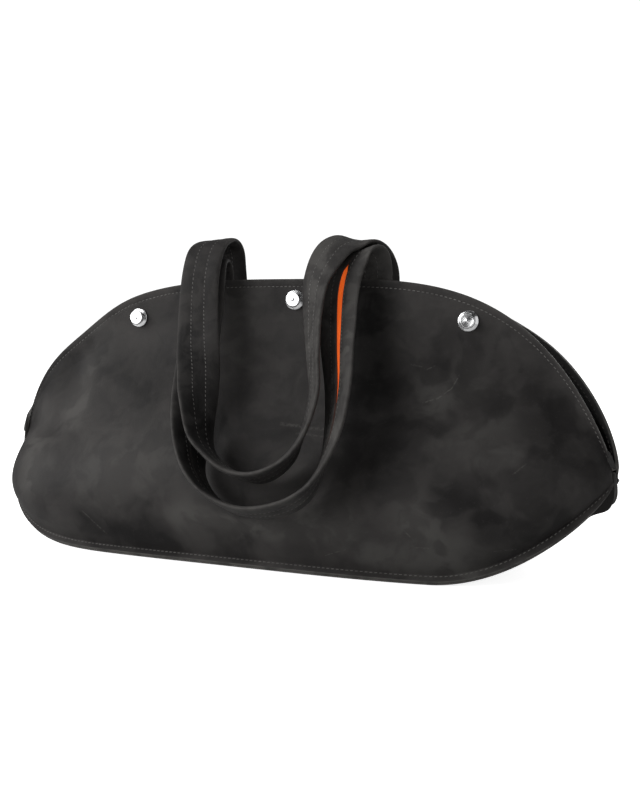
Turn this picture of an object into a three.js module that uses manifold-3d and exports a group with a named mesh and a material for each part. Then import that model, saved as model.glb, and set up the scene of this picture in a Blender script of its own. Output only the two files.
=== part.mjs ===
// Half-moon travel bag in waxed leather: a front and a back panel sewn to a boat-shaped base,
// a mouth open from tip to tip, two carrying straps laid over the front and three turned studs.
// Millimetres, +Z up, the front towards -Y, resting on Z = 0.
import * as THREE from "three";
import { mergeVertices } from "three/addons/utils/BufferGeometryUtils.js";
import Module from "manifold-3d";

const wasm = await Module();
wasm.setup();

// Leather
const wall = 2.0;
const hemFold = 1.6; // second layer turned in along the mouth
const hemShare = 0.86; // share of a panel's height where the straight hem band begins
const gap = 0.3; // clearance between neighbouring pieces
const rimWidth = 7; // raw edges left outside the bottom seam
const rimTip = 1.5; // the same trimmed at the tips
const rimTaper = { left: 5, right: 24 }; // how late along the bag the rim narrows

// Panel outlines: half lengths and how full each end is
const edgeTop = 254.5; // height of the mouth in the middle
const edgeTip = 97; // height where the mouth ends
const dipWidth = 0.13; // share of the half length over which the mouth's edge dips
const seamRoot = 6.5; // height of the bottom seam in the middle
// Direction in which the raw rim leaves the seam, and how it turns at the tips
const rimLean = { out: 0.94, down: 0.46, endways: 0.9, outLoss: 0.8, endDown: 0.25 };
const swellTurn = THREE.MathUtils.degToRad(55); // the swelling turns endwards at the tips
const tipPower = 4; // how late along the bag the tips take over
const tipBlend = { from: 0.3, to: 0.9 }; // share of the length where the ends' swelling takes over
const leanIn = { from: 0.15, to: 0.92 }; // share of the height where a panel leans in to the mouth
const layerFade = 6; // how soon above the seam the panel leaves the rim's plane
const panels = {
  front: {
    facing: -1, seamMid: -78, seamEnd: -23, edgeMid: -6, edgeEnd: -20, swellMid: 18, sagMid: 2,
    left: {
      edgeHalf: 288, edgePower: 3.15, edgeRound: 0.54, seamHalf: 302, seamTip: 62, plan: 5.5,
      liftFrom: 155, liftPower: 3.2, liftRound: 0.6, swell: 17, sag: 3, blunt: 16, dip: 8, dipAt: 0.79,
    },
    right: {
      edgeHalf: 287, edgePower: 3.8, edgeRound: 0.85, seamHalf: 288, seamTip: 86, plan: 3,
      liftFrom: 146, liftPower: 1.98, liftRound: 1, swell: 20, sag: 2, blunt: 10, dip: 0, dipAt: 0.67,
    },
  },
  back: {
    facing: 1, seamMid: 88, seamEnd: -7, edgeMid: 31, edgeEnd: -9, swellMid: 18, sagMid: 2,
    left: {
      edgeHalf: 285, edgePower: 3.15, edgeRound: 0.54, seamHalf: 298, seamTip: 62, plan: 5,
      liftFrom: 155, liftPower: 3.2, liftRound: 0.6, swell: 18, sag: 3, blunt: 14, dip: 8, dipAt: 0.79,
    },
    right: {
      edgeHalf: 292, edgePower: 3.08, edgeRound: 0.667, seamHalf: 291, seamTip: 86, plan: 3,
      liftFrom: 146, liftPower: 1.98, liftRound: 1, swell: 20, sag: 2, blunt: 10, dip: 3, dipAt: 0.67,
    },
  },
};
const columns = 32;
const rows = 13;
const rowCrowding = 1.2; // above 1 puts more rows near the seam

// Base
const baseFlat = 0.84; // share of the width that lies flat
const baseDrop = 4.6; // how far the base hangs below the line between its seams
const baseLobe = {
  from: 0.92, endPower: 12, // share of the length where the base rounds out at a tip
  tuckPower: 50, rise: 6, // how late and how far it is drawn up between the panels to close the tip
  left: { drop: 2, out: 2 },
  right: { drop: 15, out: 12 },
};
const baseRows = 6;
const baseCrowding = 0.55; // below 1 puts more rows near the seams

// Straps
const strap = { width: 38, thick: 5, leather: 1.6, bevel: 1.1 };
const strapFoot = 32; // sewn length inside the hem band
const footTop = 3; // where a strap leaves the panel, below the mouth
const footSeat = 0.9; // extra room behind the hem, which bends along the strap's width
const strapSteps = 2; // sections per row of a route

// Studs: distance along the front and share of the panel's height
const studs = [
  { name: "stud_left", x: -160, share: 0.9035 },
  { name: "stud_middle", x: 3, share: 0.922 },
  { name: "stud_right", x: 164, share: 0.908 },
];
const studPost = 2;
const studHole = studPost + gap;
const drillLength = 20;
const studSides = 12;

const leather = { color: 0x2b2a29, roughness: 0.62, metalness: 0 };
const chrome = { color: 0xd9dadb, roughness: 0.12, metalness: 1 };
const orange = { color: 0xe8470c, roughness: 0.7, metalness: 0 };

const vector = (x, y, z) => new THREE.Vector3(x, y, z);
const mix = THREE.MathUtils.lerp;
const smooth = (t, from, to) => THREE.MathUtils.smoothstep(t, from, to);

// One panel's boundary and surface. u runs from the left tip (-1) to the right tip (1).
const reachAt = (u) => Math.sin((u * Math.PI) / 2);
const endOf = (panel, u) => (u < 0 ? panel.left : panel.right);

function edgePoint(panel, u) {
  const end = endOf(panel, u);
  const reach = reachAt(u);
  const rise = (1 - Math.abs(reach) ** end.edgePower) ** end.edgeRound;
  const dip = end.dip * Math.exp(-(((Math.abs(reach) - end.dipAt) / dipWidth) ** 2));
  const y = mix(panel.edgeEnd, panel.edgeMid, rise);
  return vector(end.edgeHalf * reach, y, mix(edgeTip, edgeTop, rise) - dip);
}

function seamPoint(panel, u) {
  const end = endOf(panel, u);
  const reach = reachAt(u);
  const x = end.seamHalf * reach;
  const run = Math.max(0, (Math.abs(x) - end.liftFrom) / (end.seamHalf - end.liftFrom));
  const lift = 1 - (1 - run ** end.liftPower) ** end.liftRound;
  const y = mix(panel.seamMid, panel.seamEnd, Math.abs(reach) ** end.plan);
  return vector(x, y, mix(seamRoot, end.seamTip, lift));
}

// The rim leaves the seam at right angles to it, out and a little down; its face looks up and out.
function rimFrame(panel, u) {
  const step = 0.01;
  const before = seamPoint(panel, Math.max(-1, u - step));
  const along = seamPoint(panel, Math.min(1, u + step)).sub(before).normalize();
  const reach = reachAt(u);
  const end = Math.abs(reach) ** tipPower;
  const out = vector(
    rimLean.endways * Math.sign(reach) * end,
    (rimLean.out - rimLean.outLoss * end) * panel.facing,
    -rimLean.down - rimLean.endDown * end,
  );
  out.addScaledVector(along, -out.dot(along)).normalize();
  const face = along.clone().cross(out).multiplyScalar(panel.facing).normalize();
  return { out, face };
}

const rimAt = (u) => mix(rimWidth, rimTip, Math.abs(reachAt(u)) ** endOf(rimTaper, u));

// Bulge from 0 to 1 and back over a panel's height; a larger sag puts its crest lower.
function swellShape(t, sag) {
  const crest = 1 / (1 + sag);
  return (t / crest) * ((1 - t) / (1 - crest)) ** sag;
}

// Outer face of a panel; t runs from the bottom seam (0) to the mouth (1).
function panelPoint(panel, u, t) {
  if (t > hemShare && t < 1) {
    const share = (t - hemShare) / (1 - hemShare);
    return panelPoint(panel, u, hemShare).lerp(panelPoint(panel, u, 1), share);
  }
  const seam = seamPoint(panel, u);
  const edge = edgePoint(panel, u);
  const reach = reachAt(u);
  const end = endOf(panel, u);
  const endShare = smooth(Math.abs(reach), tipBlend.from, tipBlend.to);
  const size = mix(panel.swellMid, end.swell, endShare) * (1 - Math.abs(reach) ** end.blunt);
  const amount = size * swellShape(t, mix(panel.sagMid, end.sag, endShare));
  const turn = swellTurn * Math.abs(reach) ** tipPower;
  const layer = rimFrame(panel, u).face.multiplyScalar((gap / 2 + wall) * (1 - t) ** layerFade);
  return vector(
    mix(seam.x, edge.x, t) + Math.sign(reach) * Math.sin(turn) * amount,
    mix(seam.y, edge.y, smooth(t, leanIn.from, leanIn.to)) + panel.facing * Math.cos(turn) * amount,
    mix(seam.z, edge.z, t),
  ).add(layer);
}

function panelNormal(panel, u, t) {
  const step = 0.004;
  const along = panelPoint(panel, Math.min(1, u + step), t).sub(panelPoint(panel, Math.max(-1, u - step), t));
  const up = panelPoint(panel, u, Math.min(1, t + step)).sub(panelPoint(panel, u, Math.max(0, t - step)));
  return along.cross(up).multiplyScalar(-panel.facing).normalize();
}

// Grids of points become closed walls.
function gridNormals(grid, sign) {
  const last = grid.length - 1;
  const top = grid[0].length - 1;
  return grid.map((column, i) => column.map((_, j) => {
    const along = grid[Math.min(last, i + 1)][j].clone().sub(grid[Math.max(0, i - 1)][j]);
    const lower = column[j].clone().sub(column[Math.max(0, j - 1)]).normalize();
    const upper = column[Math.min(top, j + 1)].clone().sub(column[j]).normalize();
    return along.cross(lower.add(upper)).multiplyScalar(sign).normalize();
  }));
}

function geometryOf(points, faces) {
  const geometry = new THREE.BufferGeometry();
  const places = points.flatMap((p) => [p.x, p.y, p.z]);
  geometry.setAttribute("position", new THREE.Float32BufferAttribute(places, 3));
  geometry.setIndex(faces);
  return geometry;
}

// sign is 1 where columns crossed with rows point out of the bag, -1 where they point in.
function closedWall(outer, thickness, sign) {
  const normals = gridNormals(outer, sign);
  const inner = outer.map((column, i) => column.map((p, j) => (
    p.clone().addScaledVector(normals[i][j], -thickness(j)))));
  const across = outer.length;
  const up = outer[0].length;
  const id = (layer, i, j) => (layer * across + i) * up + j;
  const faces = [];
  const quad = (a, b, c, d) => faces.push(...(sign > 0 ? [a, b, c, a, c, d] : [a, c, b, a, d, c]));
  for (let i = 0; i < across - 1; i += 1) {
    for (let j = 0; j < up - 1; j += 1) {
      quad(id(0, i, j), id(0, i + 1, j), id(0, i + 1, j + 1), id(0, i, j + 1));
      quad(id(1, i, j), id(1, i, j + 1), id(1, i + 1, j + 1), id(1, i + 1, j));
    }
    quad(id(0, i, 0), id(1, i, 0), id(1, i + 1, 0), id(0, i + 1, 0));
    quad(id(0, i, up - 1), id(0, i + 1, up - 1), id(1, i + 1, up - 1), id(1, i, up - 1));
  }
  for (let j = 0; j < up - 1; j += 1) {
    quad(id(0, 0, j), id(0, 0, j + 1), id(1, 0, j + 1), id(1, 0, j));
    quad(id(0, across - 1, j), id(1, across - 1, j), id(1, across - 1, j + 1), id(0, across - 1, j + 1));
  }
  return geometryOf([...outer.flat(), ...inner.flat()], faces);
}

const stations = (count) => Array.from({ length: count + 1 }, (_, i) => i / count);

function panelGeometry(panel) {
  const heights = [...stations(rows - 1).map((t) => hemShare * t ** rowCrowding), 1];
  const outer = stations(columns).map((s) => {
    const u = 2 * s - 1;
    const { out } = rimFrame(panel, u);
    const body = heights.map((t) => panelPoint(panel, u, t));
    return [body[0].clone().addScaledVector(out, rimAt(u)), ...body];
  });
  const thickness = (j) => wall + (j > 0 && heights[j - 1] >= hemShare ? hemFold : 0);
  return closedWall(outer, thickness, -panel.facing > 0 ? 1 : -1);
}

// The base runs between the two seams; s crosses it from the front (-1) to the back (1).
function basePoint(u, s) {
  const front = seamPoint(panels.front, u);
  const back = seamPoint(panels.back, u);
  const frontRim = rimFrame(panels.front, u);
  const backRim = rimFrame(panels.back, u);
  front.addScaledVector(frontRim.face, -gap / 2 - wall);
  back.addScaledVector(backRim.face, -gap / 2 - wall);
  const point = front.lerp(back, (s + 1) / 2);
  const reach = reachAt(u);
  const full = 1 - smooth(Math.abs(s), baseFlat, 1);
  const lobe = endOf(baseLobe, u);
  const far = Math.abs(reach);
  const tuck = far ** baseLobe.tuckPower;
  const hang = mix(baseDrop + lobe.drop * smooth(far, baseLobe.from, 1), -baseLobe.rise * (1 - s * s), tuck);
  const middle = Math.max(0, point.z - hang);
  point.z = mix(point.z, middle, full);
  point.x += Math.sign(reach) * lobe.out * far ** baseLobe.endPower * full * (1 - tuck);
  return point;
}

function baseGeometry() {
  const outer = stations(columns).map((s) => {
    const u = 2 * s - 1;
    const body = stations(baseRows).map((k) => {
      const c = 2 * k - 1;
      return basePoint(u, Math.sign(c) * Math.abs(c) ** baseCrowding);
    });
    const first = body[0].clone().addScaledVector(rimFrame(panels.front, u).out, rimAt(u));
    const last = body[baseRows].clone().addScaledVector(rimFrame(panels.back, u).out, rimAt(u));
    return [first, ...body, last];
  });
  return closedWall(outer, () => wall, -1);
}

// Strap routes: middle of the strip and the direction from its outer to its inner edge
const backRoute = [
  { x: -78, y: 21, z: 265, wx: 1, wy: 0, wz: 0 },
  { x: -77, y: 14, z: 283, wx: 1, wy: 0, wz: 0.06 },
  { x: -77, y: -3, z: 290, wx: 1, wy: 0, wz: 0.09 },
  { x: -79, y: -22, z: 282, wx: 1, wy: 0, wz: 0.04 },
  { x: -80, y: -33, z: 261, wx: 1, wy: 0, wz: 0 },
  { x: -79, y: -40, z: 238, wx: 1, wy: 0.05, wz: 0 },
  { x: -68, y: -64, z: 199, wx: 1, wy: 0.2, wz: 0 },
  { x: -59, y: -81, z: 175, wx: 0.78, wy: 0.62, wz: 0 },
  { x: -50, y: -100, z: 149, wx: 0.48, wy: 0.88, wz: 0 },
  { x: -43, y: -109, z: 117, wx: 0.12, wy: 0.95, wz: -0.25 },
  { x: -33, y: -112, z: 104, wx: -0.1, wy: 0.95, wz: -0.29 },
  { x: -13, y: -114, z: 92, wx: 0.02, wy: 0.94, wz: -0.33 },
  { x: 10, y: -115, z: 89, wx: 0, wy: 0.93, wz: -0.35 },
  { x: 33, y: -114, z: 101, wx: -0.12, wy: 0.96, wz: -0.26 },
  { x: 48, y: -112, z: 122, wx: -0.35, wy: 0.88, wz: -0.2 },
  { x: 55, y: -99, z: 157, wx: -0.45, wy: 0.89, wz: 0 },
  { x: 48, y: -80, z: 186, wx: -0.5, wy: 0.86, wz: 0 },
  { x: 39, y: -56, z: 218, wx: -0.6, wy: 0.8, wz: 0 },
  { x: 35, y: -37, z: 251, wx: -0.78, wy: 0.58, wz: 0.04 },
  { x: 40, y: -27, z: 270, wx: -0.87, wy: 0.42, wz: 0.2 },
  { x: 47, y: -16, z: 283, wx: -0.93, wy: 0.3, wz: 0.2 },
  { x: 59, y: 0, z: 287.5, wx: -1, wy: 0.05, wz: 0.2 },
  { x: 69, y: 12, z: 279, wx: -1, wy: 0, wz: 0.1 },
  { x: 75, y: 20, z: 263, wx: -1, wy: 0, wz: 0 },
];
const frontRoute = [
  { x: -82, y: 1, z: 262, wx: 1, wy: 0, wz: 0 },
  { x: -82, y: -3, z: 269, wx: 1, wy: 0, wz: 0 },
  { x: -81, y: -10, z: 272, wx: 1, wy: 0, wz: 0 },
  { x: -80, y: -18, z: 269, wx: 1, wy: 0, wz: 0 },
  { x: -79, y: -23, z: 258, wx: 1, wy: 0, wz: 0 },
  { x: -78, y: -30, z: 231, wx: 1, wy: 0.05, wz: 0 },
  { x: -73, y: -51, z: 199, wx: 1, wy: 0.1, wz: 0 },
  { x: -67, y: -72, z: 167, wx: 0.92, wy: 0.38, wz: 0 },
  { x: -63, y: -87, z: 139, wx: 0.7, wy: 0.7, wz: 0 },
  { x: -57, y: -102, z: 112, wx: 0.42, wy: 0.87, wz: -0.25 },
  { x: -49, y: -112, z: 90, wx: 0.1, wy: 0.93, wz: -0.35 },
  { x: -31, y: -117, z: 71, wx: 0, wy: 0.91, wz: -0.4 },
  { x: 3, y: -119, z: 60, wx: 0, wy: 0.91, wz: -0.42 },
  { x: 39, y: -119, z: 68, wx: -0.05, wy: 0.91, wz: -0.4 },
  { x: 56, y: -118, z: 81, wx: -0.15, wy: 0.9, wz: -0.36 },
  { x: 69, y: -116, z: 105, wx: -0.4, wy: 0.86, wz: -0.25 },
  { x: 76, y: -109, z: 133, wx: -0.6, wy: 0.78, wz: -0.1 },
  { x: 74, y: -92, z: 163, wx: -0.72, wy: 0.7, wz: 0 },
  { x: 65, y: -67, z: 196, wx: -0.83, wy: 0.55, wz: 0 },
  { x: 58, y: -46, z: 220, wx: -0.93, wy: 0.37, wz: 0 },
  { x: 54, y: -32, z: 241, wx: -1, wy: 0.12, wz: 0 },
  { x: 55, y: -25, z: 257, wx: -1, wy: 0.1, wz: 0 },
  { x: 58, y: -20, z: 267, wx: -1, wy: 0.12, wz: -0.08 },
  { x: 65, y: -11, z: 277, wx: -1, wy: 0.12, wz: -0.2 },
  { x: 72, y: -1, z: 275, wx: -1, wy: 0.06, wz: -0.16 },
  { x: 74, y: 2, z: 262, wx: -1, wy: 0.04, wz: 0 },
];

// How wide the folded strip gapes over its core, by share of the route
const backSlit = [{ at: 0, width: 1.2 }, { at: 1, width: 1.2 }];
const frontSlit = [
  { at: 0, width: 1.2 }, { at: 0.58, width: 1.2 }, { at: 0.63, width: 2.8 }, { at: 0.68, width: 4.6 },
  { at: 0.73, width: 5.2 }, { at: 0.77, width: 5.2 }, { at: 0.8, width: 4.6 }, { at: 0.825, width: 1.2 },
  { at: 1, width: 1.2 },
];

function tableValue(table, at) {
  const next = table.findIndex((row) => row.at >= at);
  if (next <= 0) return table[0].width;
  const [low, high] = [table[next - 1], table[next]];
  return mix(low.width, high.width, smooth((at - low.at) / (high.at - low.at), 0, 1));
}

// The sewn end of a strap lies on the inner face of its panel.
function footRows(panel, x, wx) {
  const u = (Math.asin(x / endOf(panel, x).edgeHalf) * 2) / Math.PI;
  const inset = wall + hemFold + gap + footSeat + strap.thick / 2;
  const height = edgePoint(panel, u).z - seamPoint(panel, u).z;
  return [strapFoot, footTop].map((below) => {
    const t = 1 - below / height;
    const point = panelPoint(panel, u, t).addScaledVector(panelNormal(panel, u, t), -inset);
    return { x, y: point.y, z: point.z, wx, wy: 0, wz: 0 };
  });
}

// Sections along a strap: position, direction across and direction out of the visible face
function strapFrames(panel, route) {
  const start = footRows(panel, route[0].x, 1);
  const end = footRows(panel, route[route.length - 1].x, -1).reverse();
  const table = [...start, ...route, ...end];
  const middle = new THREE.CatmullRomCurve3(table.map((r) => vector(r.x, r.y, r.z)));
  const across = new THREE.CatmullRomCurve3(table.map((r) => vector(r.wx, r.wy, r.wz)), false, "catmullrom");
  return stations((table.length - 1) * strapSteps).map((s) => {
    const along = middle.getTangent(s);
    const wide = across.getPoint(s);
    wide.addScaledVector(along, -wide.dot(along)).normalize();
    return { s, point: middle.getPoint(s), wide, face: along.clone().cross(wide).normalize() };
  });
}

// The diagonals of inner and outer faces run the same way, so a twisted wall keeps its thickness.
function sweep(frames, section) {
  const outlines = frames.map((frame) => section(frame.s).map(([w, n]) => (
    frame.point.clone().addScaledVector(frame.wide, w).addScaledVector(frame.face, n))));
  const contour = section(0).map(([w, n]) => new THREE.Vector2(w, n));
  const size = contour.length;
  const faces = [];
  for (let i = 0; i < frames.length - 1; i += 1) {
    for (let k = 0; k < size; k += 1) {
      const next = (k + 1) % size;
      const [a, b] = [i * size + k, i * size + next];
      const [c, d] = [b + size, a + size];
      const across = contour[next].x > contour[k].x;
      faces.push(...(across ? [a, b, c, a, c, d] : [a, b, d, b, c, d]));
    }
  }
  const cap = THREE.ShapeUtils.triangulateShape(contour, []);
  const last = (frames.length - 1) * size;
  const [near, far] = THREE.ShapeUtils.isClockWise(contour) ? [last, 0] : [0, last];
  cap.forEach(([a, b, c]) => faces.push(near + a, near + c, near + b, far + a, far + b, far + c));
  return facingOut(geometryOf(outlines.flat(), faces));
}

// Swaps the winding of a closed body whose faces point in.
function facingOut(geometry) {
  const position = geometry.getAttribute("position");
  const index = geometry.getIndex().array;
  const corner = (k) => new THREE.Vector3().fromBufferAttribute(position, index[k]);
  let volume = 0;
  for (let k = 0; k < index.length; k += 3) {
    volume += corner(k).dot(corner(k + 1).cross(corner(k + 2)));
  }
  if (volume < 0) {
    for (let k = 0; k < index.length; k += 3) {
      [index[k], index[k + 1]] = [index[k + 1], index[k]];
    }
  }
  return geometry;
}

// The wrap is a strip folded round the core, its edges meeting at a slit on the face of slitSide.
function wrapSection(slit, slitSide) {
  const half = strap.width / 2;
  const face = strap.thick / 2;
  const { leather: skin, bevel } = strap;
  return (s) => {
    const lip = tableValue(slit, s) / 2;
    return [
      [lip, face], [half - bevel, face], [half, face - bevel], [half, bevel - face], [half - bevel, -face],
      [0, -face], [bevel - half, -face], [-half, bevel - face], [-half, face - bevel], [bevel - half, face],
      [-lip, face], [-lip, face - skin], [skin - half, face - skin], [skin - half, skin - face],
      [0, skin - face], [half - skin, skin - face], [half - skin, face - skin], [lip, face - skin],
    ].map(([w, n]) => [w * slitSide, n * slitSide]);
  };
}

function coreSection() {
  const half = strap.width / 2 - strap.leather - gap;
  const face = strap.thick / 2 - strap.leather - gap;
  return [[half, face], [0, face], [-half, face], [-half, -face], [0, -face], [half, -face]];
}

// A stud is turned about its own axis: washer inside the bag, post, flange, neck and dished head.
function studGeometry() {
  const inside = -(wall + hemFold + gap);
  const washer = [
    { r: 0, h: -1.3 }, { r: 5.6, h: -1.3 }, { r: 6, h: -0.9 }, { r: 6, h: 0 }, { r: studPost, h: 0 },
  ].map(({ r, h }) => new THREE.Vector2(r, inside + h));
  const cap = [
    { r: studPost, h: 0 }, { r: 8.8, h: 0 }, { r: 9.2, h: 0.5 }, { r: 8.7, h: 1.3 }, { r: 4.8, h: 1.9 },
    { r: 4.6, h: 3.6 }, { r: 6.6, h: 4 }, { r: 7, h: 4.7 }, { r: 6.8, h: 5.8 }, { r: 6, h: 6.3 },
    { r: 1.7, h: 5.6 }, { r: 1.4, h: 6.2 }, { r: 0, h: 6.5 },
  ].map(({ r, h }) => new THREE.Vector2(r, gap + h));
  const profile = [...washer, ...cap];
  const geometry = mergedPositions(new THREE.LatheGeometry(profile, studSides));
  return facingOut(geometry.rotateX(Math.PI / 2));
}

function mergedPositions(geometry) {
  geometry.deleteAttribute("normal");
  geometry.deleteAttribute("uv");
  return mergeVertices(geometry);
}

function solidOf(geometry) {
  const vertProperties = Float32Array.from(geometry.getAttribute("position").array);
  const triVerts = Uint32Array.from(geometry.getIndex().array);
  return new wasm.Manifold(new wasm.Mesh({ numProp: 3, vertProperties, triVerts }));
}

function geometryOfSolid(solid) {
  const { vertProperties, triVerts } = solid.getMesh();
  const geometry = new THREE.BufferGeometry();
  geometry.setAttribute("position", new THREE.BufferAttribute(vertProperties, 3));
  geometry.setIndex(new THREE.BufferAttribute(triVerts, 1));
  return geometry;
}

// A stud's place: on the panel's outer face, its axis along the face's normal
function studPlace({ x, share }) {
  const panel = panels.front;
  const u = (Math.asin(x / endOf(panel, x).edgeHalf) * 2) / Math.PI;
  const turn = new THREE.Quaternion().setFromUnitVectors(vector(0, 0, 1), panelNormal(panel, u, share));
  return { point: panelPoint(panel, u, share), turn };
}

function frontPanelGeometry() {
  let solid = solidOf(panelGeometry(panels.front));
  studs.forEach((stud) => {
    const { point, turn } = studPlace(stud);
    const cylinder = new THREE.CylinderGeometry(studHole, studHole, drillLength, studSides);
    const drill = mergedPositions(cylinder.rotateX(Math.PI / 2));
    drill.applyQuaternion(turn).translate(point.x, point.y, point.z);
    solid = solid.subtract(solidOf(drill));
  });
  return geometryOfSolid(solid);
}

const bag = new THREE.Group();

function addPiece(name, geometry, finish) {
  geometry.computeVertexNormals();
  const mesh = new THREE.Mesh(geometry, new THREE.MeshStandardMaterial(finish));
  mesh.name = name;
  bag.add(mesh);
  return mesh;
}

addPiece("front_panel", frontPanelGeometry(), leather);
addPiece("back_panel", panelGeometry(panels.back), leather);
addPiece("base_gusset", baseGeometry(), leather);

const backFrames = strapFrames(panels.back, backRoute);
addPiece("handle_back", sweep(backFrames, wrapSection(backSlit, -1)), leather);
addPiece("handle_back_core", sweep(backFrames, coreSection), orange);
const frontFrames = strapFrames(panels.front, frontRoute);
addPiece("handle_front", sweep(frontFrames, wrapSection(frontSlit, 1)), leather);
addPiece("handle_front_core", sweep(frontFrames, coreSection), orange);

studs.forEach((stud) => {
  const { point, turn } = studPlace(stud);
  const mesh = addPiece(stud.name, studGeometry(), chrome);
  mesh.position.copy(point);
  mesh.quaternion.copy(turn);
});

export default bag;
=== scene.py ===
import math

import bpy
import numpy as np
from mathutils import Matrix, Vector, noise


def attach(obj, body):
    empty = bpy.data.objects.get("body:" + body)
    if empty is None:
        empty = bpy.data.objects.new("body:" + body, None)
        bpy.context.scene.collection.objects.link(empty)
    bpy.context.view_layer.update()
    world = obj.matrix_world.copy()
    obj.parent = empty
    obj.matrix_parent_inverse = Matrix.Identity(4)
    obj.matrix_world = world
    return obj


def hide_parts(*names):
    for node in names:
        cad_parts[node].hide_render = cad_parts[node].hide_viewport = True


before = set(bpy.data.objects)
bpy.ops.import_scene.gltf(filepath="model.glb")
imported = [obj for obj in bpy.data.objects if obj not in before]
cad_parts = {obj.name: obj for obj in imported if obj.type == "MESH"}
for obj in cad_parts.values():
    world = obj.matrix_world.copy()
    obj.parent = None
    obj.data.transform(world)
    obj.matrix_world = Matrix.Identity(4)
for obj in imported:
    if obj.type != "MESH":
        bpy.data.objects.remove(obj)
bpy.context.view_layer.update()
millimetre = 0.001

# camera at the photograph's angle, image taken as 640 x 795
cameraSet = {"place": (0.319, -0.8085, 0.237), "turn": (83.893, 0.0, 20.0), "lens": 42.11, "sensor": 36.0}

bpy.ops.object.camera_add(location=cameraSet["place"], rotation=[math.radians(a) for a in cameraSet["turn"]])
camera = bpy.context.object
camera.data.lens = cameraSet["lens"]
camera.data.sensor_width = cameraSet["sensor"]
bpy.context.scene.camera = camera
print("camera set")

# the bag's shell, in millimetres; u runs from the left tip (-1) to the right tip (1)
shell = {
    "wall": 2.0, "hemFold": 1.6, "hemShare": 0.86, "hemSlack": 0.5, "gap": 0.3,
    "edgeTop": 254.5, "edgeTip": 97.0, "dipWidth": 0.13, "seamRoot": 6.5,
    "rimWidth": 7.0, "rimTip": 1.5, "rimTaper": (5, 24),
    "rimOut": 0.94, "rimDown": 0.46, "rimEndways": 0.9, "rimOutLoss": 0.8, "rimEndDown": 0.25,
    "swellTurn": math.radians(55), "tipPower": 4, "blendFrom": 0.3, "blendTo": 0.9,
    "leanFrom": 0.15, "leanTo": 0.92, "layerFade": 6,
}
leftEnd = {
    "edgePower": 3.15, "edgeRound": 0.54, "seamTip": 62, "liftFrom": 155, "liftPower": 3.2, "liftRound": 0.6,
    "sag": 3, "dip": 8, "dipAt": 0.79,
}
rightEnd = {
    "seamTip": 86, "liftFrom": 146, "liftPower": 1.98, "liftRound": 1, "sag": 2, "dipAt": 0.67,
    "plan": 3, "swell": 20, "blunt": 10,
}
frontShape = {
    "facing": -1, "seamMid": -78, "seamEnd": -23, "edgeMid": -6, "edgeEnd": -20, "swellMid": 18, "sagMid": 2,
    "waveSeed": 3.1,
    "left": {**leftEnd, "edgeHalf": 288, "seamHalf": 302, "plan": 5.5, "swell": 17, "blunt": 16},
    "right": {**rightEnd, "edgeHalf": 287, "seamHalf": 288, "edgePower": 3.8, "edgeRound": 0.85, "dip": 0},
}
backShape = {
    "facing": 1, "seamMid": 88, "seamEnd": -7, "edgeMid": 31, "edgeEnd": -9, "swellMid": 18, "sagMid": 2,
    "waveSeed": 8.7,
    "left": {**leftEnd, "edgeHalf": 285, "seamHalf": 298, "plan": 5, "swell": 18, "blunt": 14},
    "right": {**rightEnd, "edgeHalf": 292, "seamHalf": 291, "edgePower": 3.08, "edgeRound": 0.667, "dip": 3},
}


def mix(a, b, k):
    return a + (b - a) * k


def easeStep(x, low, high):
    k = np.clip((x - low) / (high - low), 0, 1)
    return k * k * (3 - 2 * k)


def unit(v):
    return v / np.maximum(np.linalg.norm(v, axis=-1, keepdims=True), 1e-12)


def endValue(shape, u, key):
    return np.where(u < 0, shape["left"][key], shape["right"][key])


def reachAt(u):
    return np.sin(u * math.pi / 2)


def edgePoint(shape, u):
    reach = reachAt(u)
    fall = np.abs(reach) ** endValue(shape, u, "edgePower")
    rise = np.maximum(1 - fall, 0) ** endValue(shape, u, "edgeRound")
    x = endValue(shape, u, "edgeHalf") * reach
    y = mix(shape["edgeEnd"], shape["edgeMid"], rise)
    near = (np.abs(reach) - endValue(shape, u, "dipAt")) / shell["dipWidth"]
    z = mix(shell["edgeTip"], shell["edgeTop"], rise) - endValue(shape, u, "dip") * np.exp(-near ** 2)
    return np.stack([x, y, z], -1)


def seamPoint(shape, u):
    reach = reachAt(u)
    half, begin = endValue(shape, u, "seamHalf"), endValue(shape, u, "liftFrom")
    x = half * reach
    run = np.maximum(0, (np.abs(x) - begin) / (half - begin)) ** endValue(shape, u, "liftPower")
    lift = 1 - np.maximum(1 - run, 0) ** endValue(shape, u, "liftRound")
    y = mix(shape["seamMid"], shape["seamEnd"], np.abs(reach) ** endValue(shape, u, "plan"))
    return np.stack([x, y, mix(shell["seamRoot"], endValue(shape, u, "seamTip"), lift)], -1)


def rimFrame(shape, u, step=0.01):
    along = unit(seamPoint(shape, np.minimum(1, u + step)) - seamPoint(shape, np.maximum(-1, u - step)))
    reach = reachAt(u)
    end = np.abs(reach) ** shell["tipPower"]
    out = np.stack([
        shell["rimEndways"] * np.sign(reach) * end,
        (shell["rimOut"] - shell["rimOutLoss"] * end) * shape["facing"],
        -shell["rimDown"] - shell["rimEndDown"] * end,
    ], -1)
    out = unit(out - along * np.sum(out * along, -1, keepdims=True))
    face = unit(np.cross(along, out) * shape["facing"])
    return out, face


def rimAt(u):
    taper = np.where(u < 0, *shell["rimTaper"])
    return mix(shell["rimWidth"], shell["rimTip"], np.abs(reachAt(u)) ** taper)


def swellCurve(t, sag):
    crest = 1 / (1 + sag)
    return (t / crest) * ((1 - t) / (1 - crest)) ** sag


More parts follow.
